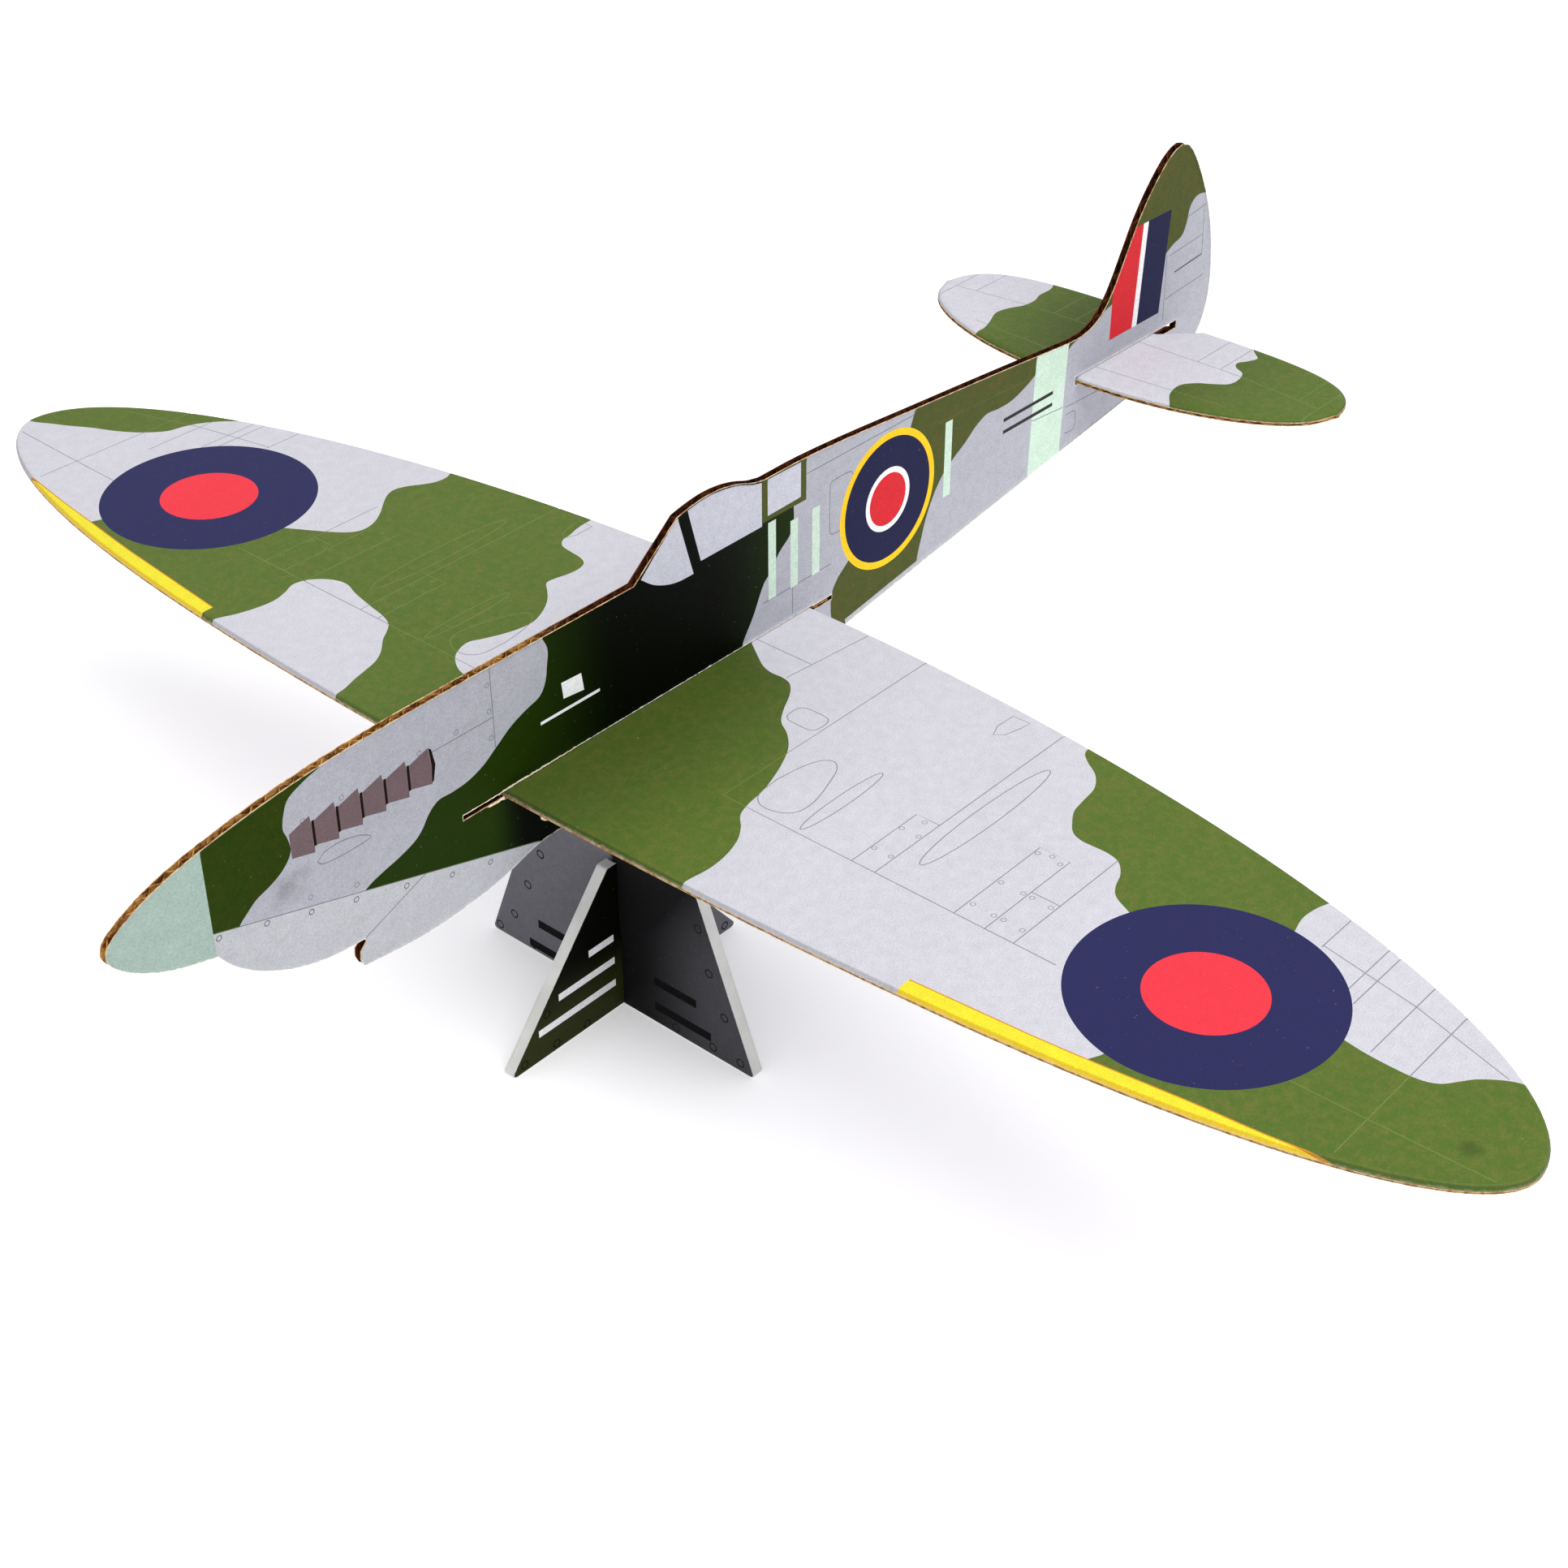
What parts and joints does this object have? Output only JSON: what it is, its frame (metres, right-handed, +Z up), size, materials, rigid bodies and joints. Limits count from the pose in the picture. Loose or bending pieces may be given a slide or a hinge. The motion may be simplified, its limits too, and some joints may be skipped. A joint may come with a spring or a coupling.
{
  "type": "slot-together card display model aircraft",
  "caption": "Flat-board model of an elliptical-wing fighter: one-piece wing and tailplane slide through slots in the profile fuselage, on a half-lapped cross stand.",
  "frame": {"origin": "on the floor, under the middle of the whole model's length and span", "axes": "+X to the nose, +Y to port (the left wing), +Z up"},
  "size_m": [0.3314, 0.4008, 0.1358],
  "materials": {
    "flute_fuselage": "brown fluted medium, seen at the cut edges",
    "flute_wing": "brown fluted medium, seen at the cut edges",
    "flute_tailplane": "brown fluted medium, seen at the cut edges",
    "print_fuselage_port": "satin litho print: green and grey camouflage with roundel, band and fin flash",
    "print_fuselage_starboard": "satin litho print, handed to match the other side",
    "print_wing_top": "satin litho print: green and grey camouflage, roundels, yellow leading edge strip",
    "print_wing_bottom": "satin litho print, plain pale grey with panel lines",
    "print_tailplane_top": "satin litho print: green and grey camouflage",
    "print_tailplane_bottom": "satin litho print, plain pale grey",
    "board_long": "white board, cut edge",
    "board_cross": "white board, cut edge",
    "print_long_port": "satin print, near black",
    "print_long_starboard": "satin print, dark grey",
    "print_cross_front": "satin print, dark grey",
    "print_cross_rear": "satin print, dark grey"
  },
  "bodies": {
    "stand_long": {"stand_long_core": "board_long", "stand_long_port_paper": "print_long_port", "stand_long_starboard_paper": "print_long_starboard"},
    "stand_cross": {"stand_cross_core": "board_cross", "stand_cross_front_paper": "print_cross_front", "stand_cross_rear_paper": "print_cross_rear"},
    "fuselage": {"fuselage_core": "flute_fuselage", "fuselage_port_liner": "print_fuselage_port", "fuselage_starboard_liner": "print_fuselage_starboard"},
    "wing": {"wing_core": "flute_wing", "wing_top_liner": "print_wing_top", "wing_bottom_liner": "print_wing_bottom"},
    "tailplane": {"tailplane_core": "flute_tailplane", "tailplane_top_liner": "print_tailplane_top", "tailplane_bottom_liner": "print_tailplane_bottom"}
  },
  "joints": [
    {"name": "stand_cross_lift", "type": "slide", "parent": "stand_long", "child": "stand_cross", "axis": [0, 0, 1], "range_m": [0, 0.045]},
    {"name": "fuselage_lift", "type": "slide", "parent": "stand_cross", "child": "fuselage", "axis": [0, 0, 1], "range_m": [0, 0.03]},
    {"name": "wing_slide", "type": "slide", "parent": "fuselage", "child": "wing", "axis": [0, 1, 0], "range_m": [-0.205, 0.205]},
    {"name": "tailplane_slide", "type": "slide", "parent": "fuselage", "child": "tailplane", "axis": [0, 1, 0], "range_m": [-0.06, 0.06]}
  ]
}
